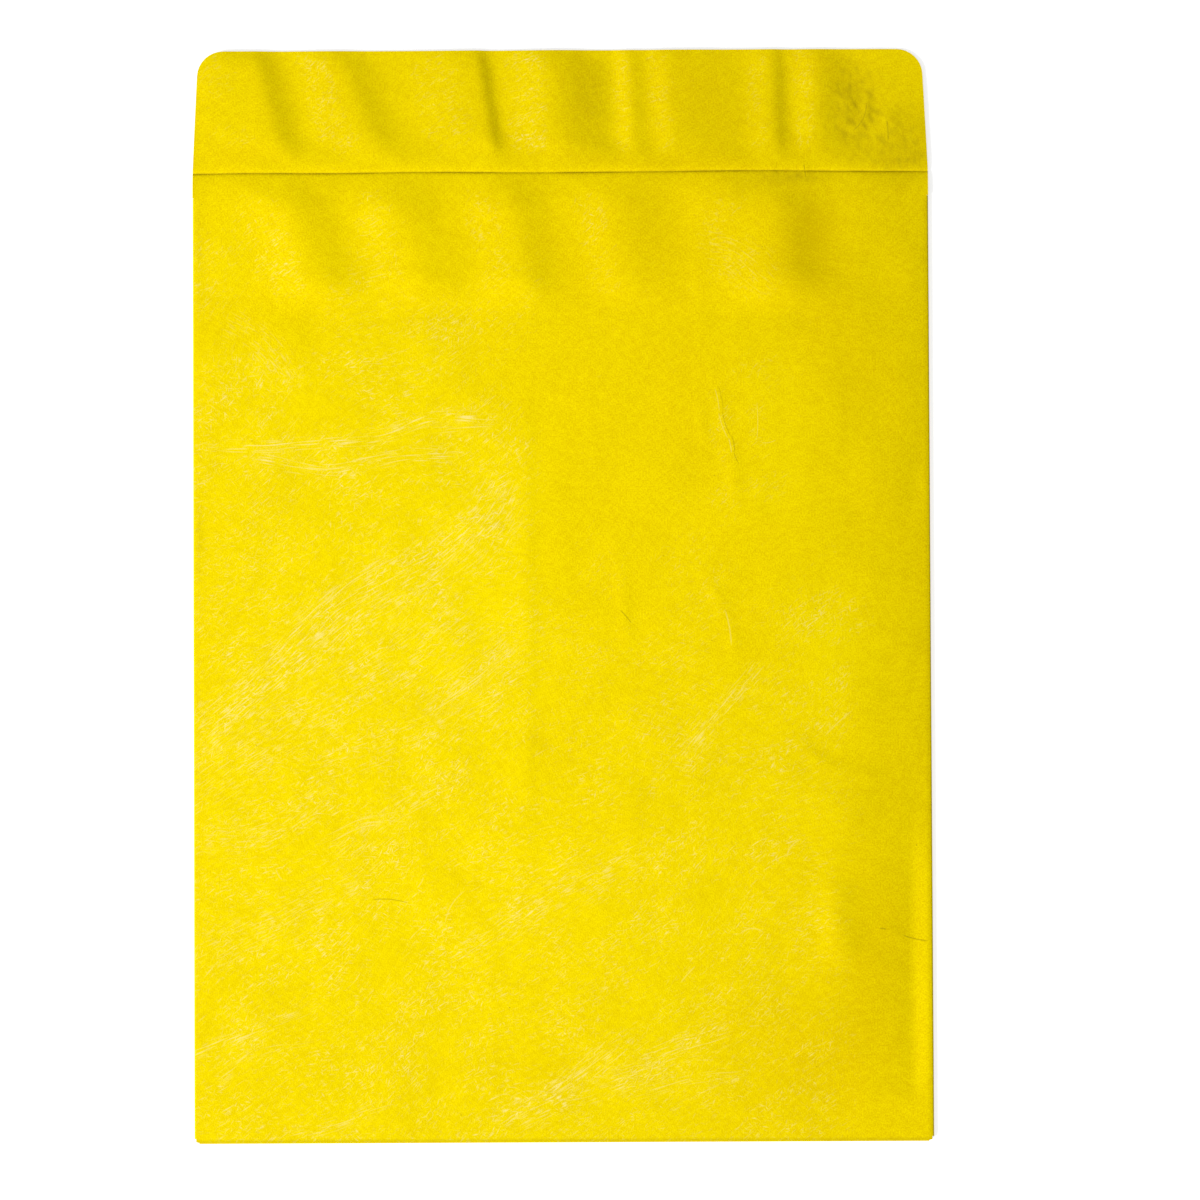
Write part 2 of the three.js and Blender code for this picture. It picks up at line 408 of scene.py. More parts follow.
# Strands: the sheet is a felt of fine spun threads, pressed flat. Most lie every way, and some were
# laid down in sweeps that catch the light; their paleness along the sweeps and streaks is painted sheen.
# Each place on a sweep knows how far along and off it is.
# Each sweep or streak: the pixels it runs through, half width in mm, strength
SWEEPS = (
    (
        ((203, 738), (258, 690), (300, 652), (345, 612), (395, 583), (440, 558), (485, 518), (505, 488)),
        8.0, 1.0,
    ),
    (((196, 790), (260, 745), (330, 700), (400, 660), (470, 610)), 10.0, 0.5),
    (((425, 714), (460, 690), (515, 640)), 7.0, 0.6),
    (((320, 770), (400, 740), (500, 690)), 6.0, 0.5),
    (((682, 758), (712, 722), (744, 685), (762, 664)), 3.0, 0.75),
    (((228, 322), (262, 345), (290, 380)), 5.0, 0.45),
    (((205, 842), (262, 838), (330, 792)), 5.0, 0.55),
    (((345, 855), (400, 808), (470, 770)), 4.0, 0.5),
    (((470, 950), (540, 905), (640, 850)), 6.0, 0.5),
    (((196, 960), (280, 915), (360, 880)), 6.0, 0.45),
    (((505, 1124), (560, 1093), (600, 1062), (626, 1042)), 5.0, 0.95),
    (((560, 1098), (615, 1081), (660, 1066)), 4.0, 0.85),
    (((640, 1064), (680, 1047), (724, 1034)), 4.0, 0.9),
    (((702, 250), (735, 258), (768, 288)), 7.0, 0.25),
)
STREAKS = (
    (((214, 448), (263, 448), (306, 444), (355, 440), (391, 434), (432, 419), (490, 419)), 1.7, 1.3),
    (((258, 459), (326, 470), (369, 463), (408, 456), (452, 456)), 2.0, 1.2),
    (((439, 430), (489, 428)), 1.0, 1.1),
    (((263, 667), (292, 633), (345, 584), (384, 560)), 1.3, 1.2),
    (((300, 652), (345, 622), (400, 590)), 1.6, 0.8),
    (((420, 590), (455, 560), (490, 516)), 1.5, 0.7),
    (((440, 706), (478, 680), (512, 650)), 1.6, 0.8),
    (((330, 838), (365, 822), (400, 822)), 2.0, 0.8),
    (((690, 746), (718, 712), (748, 680)), 0.9, 0.8),
    (((190, 1055), (240, 1036), (305, 1010)), 1.6, 0.9),
    (((220, 1080), (262, 1050), (305, 1044)), 1.8, 0.6),
    (((292, 1136), (340, 1124), (385, 1108)), 2.2, 0.8),
    (((520, 1112), (566, 1082), (610, 1050)), 1.4, 0.9),
    (((640, 1094), (690, 1080), (738, 1075)), 1.4, 0.8),
    (((676, 1108), (712, 1090), (740, 1076)), 1.0, 0.7),
)
SWEEP_MARGIN = 2.0
SWEEP_EDGE_POWER = 2.5
SWEEP_FADE = 10.0
SWEEP_SHIFT = 97.0


def lay_sweeps(sweeps):
    """Distance along, offset and strength of the strongest sweep at each place."""
    laid = np.zeros((len(plan), 3))
    for number, (pixels, half, strength) in enumerate(sweeps):
        near, run, offset, length = along_path(smooth_path(pixels), SWEEP_MARGIN * half)
        ends = ease(0.5 + run / SWEEP_FADE) * ease(0.5 + (length - run) / SWEEP_FADE)
        weight = strength * ends * np.exp(-np.abs(offset / half) ** SWEEP_EDGE_POWER)
        better = weight >= laid[near, 2]
        laid[near[better]] = np.column_stack([run + SWEEP_SHIFT * number, offset, weight])[better]
    return laid


# How plainly the pale strands show, a painted sheen where the sheet faces the lamp: most on the left and
# along the bottom, least beside the right fold
LEFT_ZONE_EDGE = from_photo(532, 600)[0]
LEFT_ZONE_TOP = from_photo(300, 330)[1]
RIGHT_ZONE_TOP = from_photo(700, 600)[1]
BARE_RIGHT = from_photo(800, 600)[0]
SEAM_WOBBLE = 2.5
SEAM_FADE = 9.0
TOP_WOBBLE = 12.0
LEFT_TOP_FADE = 60.0
RIGHT_TOP_FADE = 90.0
RIGHT_TOP_SHIFT = 0.3
BARE_FADE = 24.0
SHOWN_ANYWHERE = 0.03
SHOWN_LEFT = 0.62
SHOWN_RIGHT = 0.45
zone_wobble = waves(seed=22, wavelength=45.0)
beside_seam = ease((LEFT_ZONE_EDGE + SEAM_WOBBLE * zone_wobble - across) / SEAM_FADE + 0.5)
below_left_top = LEFT_ZONE_TOP + TOP_WOBBLE * zone_wobble - along
below_right_top = RIGHT_ZONE_TOP + TOP_WOBBLE * zone_wobble - along
left_zone = beside_seam * ease(below_left_top / LEFT_TOP_FADE + 0.5)
right_zone = (1 - beside_seam) * ease(below_right_top / RIGHT_TOP_FADE + RIGHT_TOP_SHIFT)
sheen_zone = SHOWN_ANYWHERE + SHOWN_LEFT * left_zone + SHOWN_RIGHT * right_zone
sheen_zone *= 1 - ease((across - BARE_RIGHT) / BARE_FADE)

# They also come and go in drifts and show more on a sweep, and a painted highlight lightens them on the side
# of a ripple that faces the light
DRIFT_MEAN = 0.8
DRIFT_SWING = 0.25
DRIFT_LEAST = 0.1
DRIFT_MOST = 2.0
LIT_SLOPE_FROM = 0.028
LIT_SLOPE_RANGE = 0.06
FLANK_HIGHLIGHT_GAIN = 12.0
LIT_RIGHT = from_photo(565, 0)[0]
LIT_RIGHT_FADE = 18.0
LIT_RIGHT_LOSS = 0.6
SWEEP_GAIN = 0.55
drift = DRIFT_MEAN + DRIFT_SWING * waves(seed=21, wavelength=30.0)
thread_sheen = sheen_zone * np.clip(drift, DRIFT_LEAST, DRIFT_MOST)
laid_sweeps = lay_sweeps(SWEEPS)
flank_highlight = np.clip(left_slope - LIT_SLOPE_FROM, 0, LIT_SLOPE_RANGE)
flank_highlight *= 1 - LIT_RIGHT_LOSS * ease((across - LIT_RIGHT) / LIT_RIGHT_FADE)
thread_sheen += FLANK_HIGHLIGHT_GAIN * flank_highlight + SWEEP_GAIN * laid_sweeps[:, 2]


def soft_patches(patches):
    """Soft oval patches, added together over the sheet."""
    total = np.zeros(len(plan))
    for pixel_x, pixel_y, wide, high, strength in patches:
        x_here, y_here = from_photo(pixel_x, pixel_y)
        total += strength * np.exp(-((across - x_here) / wide) ** 2 - ((along - y_here) / high) ** 2)
    return total


# Each patch of more painted thread sheen, or less below 0: pixel of its middle, half width and height in mm,
# strength
BRIGHT_PATCHES = (
    (826, 618, 9.0, 6.0, 1.2),
    (838, 692, 4.0, 9.0, 0.6),
    (824, 736, 3.0, 3.0, 0.6),
    (228, 110, 12.0, 14.0, -0.5),
    (727, 493, 4.0, 6.0, 0.45),
    (768, 372, 9.0, 4.0, 0.35),
    (722, 425, 4.0, 10.0, 0.35),
    (757, 425, 3.0, 9.0, 0.3),
    (770, 486, 8.0, 3.0, 0.25),
    (600, 572, 8.0, 8.0, 0.2),
)
SHOWN_ON_BACK = 0.4
thread_sheen += soft_patches(BRIGHT_PATCHES)
thread_sheen = np.clip(thread_sheen, 0, 1) * on_front + SHOWN_ON_BACK * ~on_front

# Each way the threads run: heading in degrees and seed
FELT_HEADINGS = {
    "felt_rising": (35.0, 31),
    "felt_level": (6.0, 41),
    "felt_steep": (64.0, 51),
    "felt_falling": (-38.0, 61),
}
FELT_BEND = 70.0
FELT_BEND_ALONG = 2.0
FELT_BEND_ASIDE = 3.6


def lay_felt(heading, seed):
    """Distance along and across threads that run near one heading, bending as they were laid down."""
    turn = math.radians(heading)
    run = across * math.cos(turn) + along * math.sin(turn) + FELT_BEND_ALONG * waves(seed, FELT_BEND)
    off = along * math.cos(turn) - across * math.sin(turn) + FELT_BEND_ASIDE * waves(seed + 1, FELT_BEND)
    return np.column_stack([run, off, np.zeros(len(plan))])


# Where the sheet has been handled it has taken up grey-brown smudges, the worst at the flap's right end. The
# patches along the crease on the right are painted shade in the crease, and those down the left border only
# make it darker
# Each smudge: pixel of its middle, half width and height in mm, strength
SMUDGES_AND_SHADE = (
    (854, 106, 8.0, 13.0, 1.1),
    (900, 140, 12.0, 11.0, 0.6),
    (905, 163, 9.0, 4.0, 0.5),
    (788, 178, 12.0, 2.0, 0.9),
    (196, 545, 2.5, 18.0, 0.5),
    (198, 265, 3.0, 20.0, 0.35),
    (590, 95, 6.0, 11.0, 0.3),
    (838, 906, 4.0, 6.0, 0.25),
)
# The flap is darkened all over a little: painted shade for its tilt away from the lamp
FLAP_SHADE = 0.14
FLAP_SHADE_FADE = 6.0
smudge_and_shade = FLAP_SHADE * ease((along - crease) / FLAP_SHADE_FADE) + soft_patches(SMUDGES_AND_SHADE)

# Broad soft clouds of deeper yellow, and paler below 0. Most are painted shade where the sheet dips from the
# light and painted light where it rises, for dips and rises that are not modelled; a few follow where the
# threads lie thicker or thinner
# Each cloud: pixel of its middle, half width and height in mm, strength
TONE_AND_SHADE_CLOUDS = (
    (806, 1065, 26.0, 24.0, 0.35),
    (870, 965, 13.0, 24.0, 0.25),
    (640, 245, 42.0, 22.0, 0.19),
    (800, 275, 15.0, 24.0, 0.26),
    (838, 645, 13.0, 20.0, -0.28),
    (690, 385, 12.0, 28.0, 0.11),
    (850, 360, 13.0, 22.0, 0.10),
    (735, 1005, 14.0, 12.0, 0.10),
    (540, 1085, 16.0, 14.0, 0.10),
    (814, 222, 8.0, 9.0, 0.28),
    (705, 105, 22.0, 28.0, 0.15),
    (582, 85, 10.0, 20.0, 0.10),
    (818, 60, 10.0, 6.0, 0.16),
    (700, 163, 24.0, 3.5, 0.18),
    (250, 157, 14.0, 5.0, 0.20),
    (585, 160, 10.0, 4.0, 0.14),
    (470, 600, 45.0, 45.0, -0.10),
    (772, 440, 12.0, 32.0, -0.14),
    (450, 1060, 85.0, 28.0, 0.07),
    (790, 930, 13.0, 40.0, 0.10),
    (400, 320, 24.0, 8.0, 0.09),
    (270, 365, 12.0, 10.0, -0.12),
)

# The folds have been rubbed, the bottom one most
SIDE_RUB = 0.2
BOTTOM_RUB = 0.5
RUB_BEFORE = 0.6
RUB_PAST = 4.0
RUB_PAST_FADE = 2.0


def fold_rub(past_fold):
    """How rubbed a place is, from its distance past a fold line."""
    return ease(past_fold / RUB_BEFORE + 1) * ease((RUB_PAST - past_fold) / RUB_PAST_FADE)


along_side_folds = (along > bottom_fold) & (along < throat + HAIR)
edge_rub = SIDE_RUB * fold_rub(np.abs(across) - side_fold) * along_side_folds
edge_rub += BOTTOM_RUB * fold_rub(bottom_fold - along)
# The crease's groove is darkened with the rubbed folds: painted shade in the groove
rub_and_crease_shade = np.clip(groove * on_front + edge_rub, 0, 1)

blank_mesh = bpy.data.meshes.new("envelope_blank")
blank_points = np.column_stack([across, along + crease_wander * on_front, relief]) * MM
blank_mesh.from_pydata(blank_points.tolist(), [], cells)
nothing = np.zeros(len(plan))
carried = {
    "plan": np.column_stack([plan, nothing]),
    "sweep": laid_sweeps,
    "streak": lay_sweeps(STREAKS),
    "shade_and_sheen_tone": np.column_stack([soft_patches(TONE_AND_SHADE_CLOUDS), sheen_zone, nothing]),
    "sheen_shade_and_wear": np.column_stack([thread_sheen, np.clip(smudge_and_shade, 0, 1), rub_and_crease_shade]),
}
for name, (heading, seed) in FELT_HEADINGS.items():
    carried[name] = lay_felt(heading, seed)
for name, values in carried.items():
    layer = blank_mesh.attributes.new(name, "FLOAT_VECTOR", "POINT")
    layer.data.foreach_set("vector", values.astype(np.float32).ravel())
envelope = bpy.data.objects.new("envelope", blank_mesh)
bpy.context.scene.collection.objects.link(envelope)

# The yellow sheet's finish: dyed through and matte, with the grain of pressed threads all over it.
# Threads that lie on top are a little glossier, and their paler colour is painted sheen; the inside of the
# seal flap has a band of gum.
SHEET_YELLOW = (0.97, 0.775, 0.0, 1)
GRAIN_YELLOW = (0.775, 0.55, 0.0, 1)
THREAD_SHEEN_YELLOW = (0.97, 0.80, 0.20, 1)
DIRT_AND_SHADE_BROWN = (0.33, 0.23, 0.005, 1)
GUM_AMBER = (0.80, 0.60, 0.06, 1)


def node(tree, kind, inputs=None, **settings):
    """A new node with its settings made and its inputs linked or filled in."""
    made = tree.nodes.new(kind)
    for name, value in settings.items():
        setattr(made, name, value)
    for key, value in (inputs or {}).items():
        if isinstance(value, bpy.types.NodeSocket):
            tree.links.new(value, made.inputs[key])
        else:
            made.inputs[key].default_value = value
    return made


def calc(tree, operation, *values, clamp=False):
    """The result of a Math node."""
    made = node(tree, "ShaderNodeMath", dict(enumerate(values)), operation=operation, use_clamp=clamp)
    return made.outputs[0]


def vector_calc(tree, operation, *vectors):
    """The result of a Vector Math node."""
    made = node(tree, "ShaderNodeVectorMath", dict(enumerate(vectors)), operation=operation)
    return made.outputs["Value" if operation in ("DOT_PRODUCT", "LENGTH") else "Vector"]


def ramp(tree, value, low, high, out_low=0.0, out_high=1.0, shape="SMOOTHSTEP"):
    """The value carried from one range to another."""
    made = node(
        tree, "ShaderNodeMapRange",
        {"Value": value, "From Min": low, "From Max": high, "To Min": out_low, "To Max": out_high},
        interpolation_type=shape,
    )
    return made.outputs[0]


def noise(tree, place, scale, detail=0.0):
    """A noise texture over a place in millimetres."""
    made = node(
        tree, "ShaderNodeTexNoise", {"Vector": place, "Scale": scale, "Detail": detail},
        noise_dimensions="2D",
    )
    return made.outputs["Fac"]


def crest(tree, value, low, high):
    """How far the value stands above low, squared, so that only the tops of a noise show plainly."""
    above = ramp(tree, value, low, high, shape="LINEAR")
    return calc(tree, "MULTIPLY", above, above)


def group_ports(tree, outputs, **inputs):
    """Gives a node group its named inputs and outputs, and returns its input sockets."""
    for name, (kind, value) in inputs.items():
        socket = tree.interface.new_socket(name, in_out="INPUT", socket_type=kind)
        if value is not None:
            socket.default_value = value
    for name, kind in outputs.items():
        tree.interface.new_socket(name, in_out="OUTPUT", socket_type=kind)
    return tree.nodes.new("NodeGroupInput").outputs


def stretched(tree, laid, length, gap):
    """A laid place with the distance along measured in lengths and the distance across in gaps."""
    lane = node(tree, "ShaderNodeSeparateXYZ", {0: laid}).outputs
    made = node(
        tree, "ShaderNodeCombineXYZ",
        {"X": calc(tree, "DIVIDE", lane["X"], length), "Y": calc(tree, "DIVIDE", lane["Y"], gap)},
    )
    return made.outputs[0]


dabs = bpy.data.node_groups.new("thread_dabs", "ShaderNodeTree")
ports = group_ports(
    dabs, {"Threads": "NodeSocketFloat"},
    Laid=("NodeSocketVector", None), Length=("NodeSocketFloat", 4.0), Gap=("NodeSocketFloat", 0.6),
    Low=("NodeSocketFloat", 0.5), High=("NodeSocketFloat", 0.85),
)
dab = noise(dabs, stretched(dabs, ports["Laid"], ports["Length"], ports["Gap"]), 1.0)
node(dabs, "NodeGroupOutput", {0: crest(dabs, dab, ports["Low"], ports["High"])})

LINE_TAPER = 0.2
line = bpy.data.node_groups.new("bowed_line", "ShaderNodeTree")
ports = group_ports(
    line, {"Line": "NodeSocketFloat"},
    Plan=("NodeSocketVector", None), Start=("NodeSocketVector", None), End=("NodeSocketVector", None),
    Bow=("NodeSocketFloat", 0.0), Width=("NodeSocketFloat", 0.3),
)
span = vector_calc(line, "SUBTRACT", ports["End"], ports["Start"])
from_start = vector_calc(line, "SUBTRACT", ports["Plan"], ports["Start"])
span_square = vector_calc(line, "DOT_PRODUCT", span, span)
run = calc(line, "DIVIDE", vector_calc(line, "DOT_PRODUCT", from_start, span), span_square)
aside = node(line, "ShaderNodeSeparateXYZ", {0: vector_calc(line, "CROSS_PRODUCT", span, from_start)})
aside = calc(line, "DIVIDE", aside.outputs["Z"], calc(line, "SQRT", span_square))
bulge = calc(line, "MULTIPLY", run, calc(line, "SUBTRACT", 1.0, run))
bulge = calc(line, "MULTIPLY", bulge, calc(line, "MULTIPLY", ports["Bow"], 4.0))
aside = calc(line, "ABSOLUTE", calc(line, "SUBTRACT", aside, bulge))
stroke = ramp(line, aside, 0.0, ports["Width"], 1.0, 0.0)
from_end = calc(line, "MINIMUM", run, calc(line, "SUBTRACT", 1.0, run))
stroke = calc(line, "MULTIPLY", stroke, ramp(line, from_end, 0.0, LINE_TAPER))
node(line, "NodeGroupOutput", {0: stroke})

finish = bpy.data.materials.new("yellow_spun_sheet")
finish.use_nodes = True
paint = finish.node_tree
shader = paint.nodes["Principled BSDF"]


def attribute(name, output="Vector"):
    """A value that the sheet carries with its mesh."""
    made = node(paint, "ShaderNodeAttribute", attribute_name=name, attribute_type="GEOMETRY")
    return made.outputs[output]


def blend(factor, first, second):
    """Two colours mixed by a factor."""
    made = node(paint, "ShaderNodeMix", {0: factor, 6: first, 7: second}, data_type="RGBA")
    return made.outputs[2]


place = attribute("plan")
sheen_shade_and_wear = node(paint, "ShaderNodeSeparateXYZ", {0: attribute("sheen_shade_and_wear")}).outputs
thread_sheen, smudged_and_shaded, rubbed_and_crease_shade = sheen_shade_and_wear["X"], sheen_shade_and_wear["Y"], sheen_shade_and_wear["Z"]

# Each layer of threads: the way they run, length, gap, and the range of the noise over which they show
FELT_LAYERS = (
    ("felt_rising", 3.4, 0.52, 0.645, 0.90),
    ("felt_level", 2.8, 0.50, 0.675, 0.92),
    ("felt_steep", 2.6, 0.50, 0.685, 0.92),
    ("felt_falling", 2.2, 0.52, 0.715, 0.94),
)
SWEEP_LAYERS = (
    ("sweep", 4.8, 0.50, 0.53, 0.82),
    ("streak", 8.0, 0.50, 0.50, 0.80),
)


def thread_layer(name, length, gap, low, high):
    """Threads that follow one of the ways that the sheet was laid."""
    layer = node(
        paint, "ShaderNodeGroup",
        {"Laid": attribute(name), "Length": length, "Gap": gap, "Low": low, "High": high},
        node_tree=dabs,
    )
    return layer.outputs[0]


# The threads lie in clusters, and the finest of them are only the tops of the grain
# A pair of values is a range: of a noise, or of what it is turned into
GRAIN_PER_MM = 2.0
GRAIN_TOPS = (0.60, 0.85)
GRAIN_TOPS_STRENGTH = 0.35
CLUSTER_LENGTH = 15.0
CLUSTER_GAP = 6.0
CLUSTER_RANGE = (0.36, 0.64)
CLUSTER_STRENGTH = (0.35, 1.4)
SWEEP_CLUSTER_SHARE = 0.5
SWEEP_LEAST = 0.45
grain = noise(paint, place, GRAIN_PER_MM, detail=1.0)
cluster_place = stretched(paint, attribute("felt_rising"), CLUSTER_LENGTH, CLUSTER_GAP)
cluster = ramp(paint, noise(paint, cluster_place, 1.0, detail=2.0), *CLUSTER_RANGE, *CLUSTER_STRENGTH)
threads = calc(paint, "MULTIPLY", crest(paint, grain, *GRAIN_TOPS), GRAIN_TOPS_STRENGTH)
for values in FELT_LAYERS:
    threads = calc(paint, "MAXIMUM", threads, thread_layer(*values))
threads = calc(paint, "MULTIPLY", threads, cluster)
# Where the threads are drawn pale, their paleness is painted sheen
painted_thread_sheen = calc(paint, "MULTIPLY", threads, thread_sheen)
half_cluster = calc(paint, "MULTIPLY_ADD", cluster, SWEEP_CLUSTER_SHARE, SWEEP_LEAST)
for name, *values in SWEEP_LAYERS:
    strength = node(paint, "ShaderNodeSeparateXYZ", {0: attribute(name)}).outputs["Z"]
    strength = calc(paint, "MULTIPLY", strength, half_cluster)
    streak = calc(paint, "MULTIPLY", thread_layer(name, *values), strength)
    painted_thread_sheen = calc(paint, "MAXIMUM", painted_thread_sheen, streak)

# Single marks. Each: the pixels it starts and ends at, its bow to the left and its width in mm
# Pale marks: single threads drawn pale as painted sheen, and painted highlights on the lit flank of the
# wrinkle at upper right
PALE_THREADS_AND_HIGHLIGHTS = (
    ((276, 868), (283, 880), -0.4, 0.35),
    ((445, 925), (467, 889), 1.6, 0.3),
    ((424, 876), (417, 888), 0.3, 0.3),
    ((823, 737), (853, 709), 0.3, 0.3),
    ((724, 608), (731, 647), 0.5, 0.35),
    ((786, 858), (802, 838), 1.3, 0.4),
    ((738, 935), (765, 933), 2.0, 0.4),
    ((680, 983), (696, 965), 0.2, 0.35),
    ((714, 388), (719, 413), 0.3, 0.2),
    ((718, 412), (728, 440), -0.4, 0.25),
    ((728, 438), (731, 454), 0.2, 0.3),
    ((756, 401), (756, 443), 0.4, 0.15),
    ((760, 443), (776, 440), -0.5, 0.15),
)
# Dark lines: a hair, and painted shade along the creases and the wrinkle at upper right
DARK_LINES_AND_CREASE_SHADE = (
    ((370, 900), (409, 903), 0.85, 0.3),
    ((619, 609), (632, 624), 0.2, 0.35),
    ((866, 98), (849, 134), 2.0, 0.5),
    ((879, 928), (886, 929), 0.1, 0.5),
    ((900, 934), (930, 941), -0.4, 0.35),
    ((886, 118), (888, 143), 0.2, 0.7),
    ((803, 164), (805, 180), 0.1, 0.35),
    ((717, 384), (723, 414), 0.4, 0.15),
    ((722, 411), (731, 438), -0.5, 0.2),
    ((731, 435), (734, 453), 0.3, 0.25),
    ((733, 450), (739, 465), -0.3, 0.18),
)


def marks(lines):
    """All of a group of single marks together."""
    total = 0.0
    for start, end, bow, width in lines:
        ends = {"Start": (*from_photo(*start), 0), "End": (*from_photo(*end), 0)}
        layer = node(
            paint, "ShaderNodeGroup", {"Plan": place, "Bow": bow, "Width": width, **ends}, node_tree=line,
        )
        total = calc(paint, "MAXIMUM", total, layer.outputs[0])
    return total


PALE_THREAD_STRENGTH = 0.42
FAINTEST_THREAD = 0.013
pale_threads_and_highlights = calc(paint, "MULTIPLY", marks(PALE_THREADS_AND_HIGHLIGHTS), PALE_THREAD_STRENGTH)
painted_thread_sheen = calc(paint, "MAXIMUM", painted_thread_sheen, pale_threads_and_highlights)
painted_thread_sheen = calc(paint, "SUBTRACT", painted_thread_sheen, FAINTEST_THREAD, clamp=True)

# The yellow under the threads is deeper in the hollows of the grain, along the felt and in the noise clouds.
# The grain is shallower where the thread sheen is painted, which is painted light, and the broad clouds add
# painted shade and painted light
GRAIN_RANGE = (0.22, 0.78)
GRAIN_DEPTH = (0.64, 0.08)
GRAIN_FULL = 1.15
GRAIN_LOSS = 0.7
CLOUDS_PER_MM = 0.05
CLOUD_RANGE = (0.3, 0.7)
CLOUD_DEPTH = (0.08, 0.0)
FELT_LENGTH = 4.0
FELT_GAP = 1.1
FELT_RANGE = (0.3, 0.7)
FELT_DEPTH = (0.09, -0.09)
shade_and_sheen_tone = node(paint, "ShaderNodeSeparateXYZ", {0: attribute("shade_and_sheen_tone")}).outputs
grain_left = calc(paint, "MULTIPLY_ADD", shade_and_sheen_tone["Y"], -GRAIN_LOSS, GRAIN_FULL)
depth_and_shade = calc(paint, "MULTIPLY", ramp(paint, grain, *GRAIN_RANGE, *GRAIN_DEPTH), grain_left)
cloud = noise(paint, place, CLOUDS_PER_MM, detail=2.0)
depth_and_shade = calc(paint, "ADD", depth_and_shade, ramp(paint, cloud, *CLOUD_RANGE, *CLOUD_DEPTH))
for heading in ("felt_rising", "felt_falling"):
    felt = noise(paint, stretched(paint, attribute(heading), FELT_LENGTH, FELT_GAP), 1.0, detail=1.0)
    depth_and_shade = calc(paint, "ADD", depth_and_shade, ramp(paint, felt, *FELT_RANGE, *FELT_DEPTH))
# The broad clouds: painted shade, and painted light where below 0
depth_and_shade = calc(paint, "ADD", depth_and_shade, shade_and_sheen_tone["X"], clamp=True)
colour = blend(depth_and_shade, SHEET_YELLOW, GRAIN_YELLOW)
colour = blend(painted_thread_sheen, colour, THREAD_SHEEN_YELLOW)

# Dirt and painted shade: smudges caught in the felt, some of them painted shade along the crease, rubbed
# folds, painted shade in the crease groove and along creases and wrinkles, a dark hair line, a few specks
# and the cut edges. The inner face has none
GRIME_FELT = ("felt_steep", 2.4, 1.7, 0.2, 0.85)
GRIME_IN_FELT = 0.32
GRIME_OVERALL = 0.2
RUB_STRENGTH = 0.72
DARK_LINE_STRENGTH = 0.55
SPECK_CELLS_PER_MM = 0.06
SPECK_CORE = 0.006
SPECK_EDGE = 0.016
SPECK_STRENGTH = 0.6
SPECK_ABOVE = 0.93
CUT_EDGE_STRENGTH = 0.6
grime_and_shade = calc(paint, "MULTIPLY_ADD", thread_layer(*GRIME_FELT), GRIME_IN_FELT, GRIME_OVERALL)
grime_and_shade = calc(paint, "MULTIPLY", grime_and_shade, smudged_and_shaded)
grime_and_shade = calc(paint, "MAXIMUM", grime_and_shade, calc(paint, "MULTIPLY", rubbed_and_crease_shade, RUB_STRENGTH))
grime_and_shade = calc(paint, "MAXIMUM", grime_and_shade, calc(paint, "MULTIPLY", marks(DARK_LINES_AND_CREASE_SHADE), DARK_LINE_STRENGTH))
speck = node(
    paint, "ShaderNodeTexVoronoi", {"Vector": place, "Scale": SPECK_CELLS_PER_MM}, voronoi_dimensions="2D",
)
speck_draw = node(paint, "ShaderNodeSeparateColor", {0: speck.outputs["Color"]}).outputs[0]
speck_spot = ramp(paint, speck.outputs["Distance"], SPECK_CORE, SPECK_EDGE, SPECK_STRENGTH, 0.0)
specks = calc(paint, "MULTIPLY", speck_spot, calc(paint, "GREATER_THAN", speck_draw, SPECK_ABOVE))
grime_and_shade = calc(paint, "MAXIMUM", grime_and_shade, specks)
inside = attribute("inside", "Fac")
grime_and_shade = calc(paint, "MULTIPLY", grime_and_shade, calc(paint, "SUBTRACT", 1.0, inside))
cut_edge = calc(paint, "MULTIPLY", attribute("cut_edge", "Fac"), CUT_EDGE_STRENGTH)
colour = blend(calc(paint, "MAXIMUM", grime_and_shade, cut_edge), colour, DIRT_AND_SHADE_BROWN)

# The gum is a band across the flap's inner face, set back from its edges
GUM_LOW = crease + 12.0
GUM_HIGH = flap_tip - 4.0
GUM_HALF = half_width - 9.0
GUM_EDGE = 0.6
GUM_STRENGTH = 0.6
plan_parts = node(paint, "ShaderNodeSeparateXYZ", {0: place}).outputs
gum_above = ramp(paint, plan_parts["Y"], GUM_LOW, GUM_LOW + GUM_EDGE)
gum_below = ramp(paint, plan_parts["Y"], GUM_HIGH - GUM_EDGE, GUM_HIGH, 1.0, 0.0)
gum_within = ramp(paint, calc(paint, "ABSOLUTE", plan_parts["X"]), GUM_HALF - GUM_EDGE, GUM_HALF, 1.0, 0.0)
gum = calc(paint, "MULTIPLY", calc(paint, "MULTIPLY", gum_above, gum_below), gum_within)
gum = calc(paint, "MULTIPLY", gum, inside)
colour = blend(calc(paint, "MULTIPLY", gum, GUM_STRENGTH), colour, GUM_AMBER)

SHEET_ROUGHNESS = 0.62
THREAD_GLOSS = 0.16
GUM_GLOSS = 0.25
SHEET_SPECULAR = 0.01
GRAIN_BUMP = 0.6
GRAIN_HEIGHT = 0.075
roughness = calc(paint, "MULTIPLY_ADD", threads, -THREAD_GLOSS, SHEET_ROUGHNESS)
roughness = calc(paint, "MULTIPLY_ADD", gum, -GUM_GLOSS, roughness)
bump = node(
    paint, "ShaderNodeBump", {"Height": grain, "Strength": GRAIN_BUMP, "Distance": GRAIN_HEIGHT * MM},
)
paint.links.new(colour, shader.inputs["Base Color"])
paint.links.new(roughness, shader.inputs["Roughness"])
paint.links.new(bump.outputs[0], shader.inputs["Normal"])
shader.inputs["Specular IOR Level"].default_value = SHEET_SPECULAR

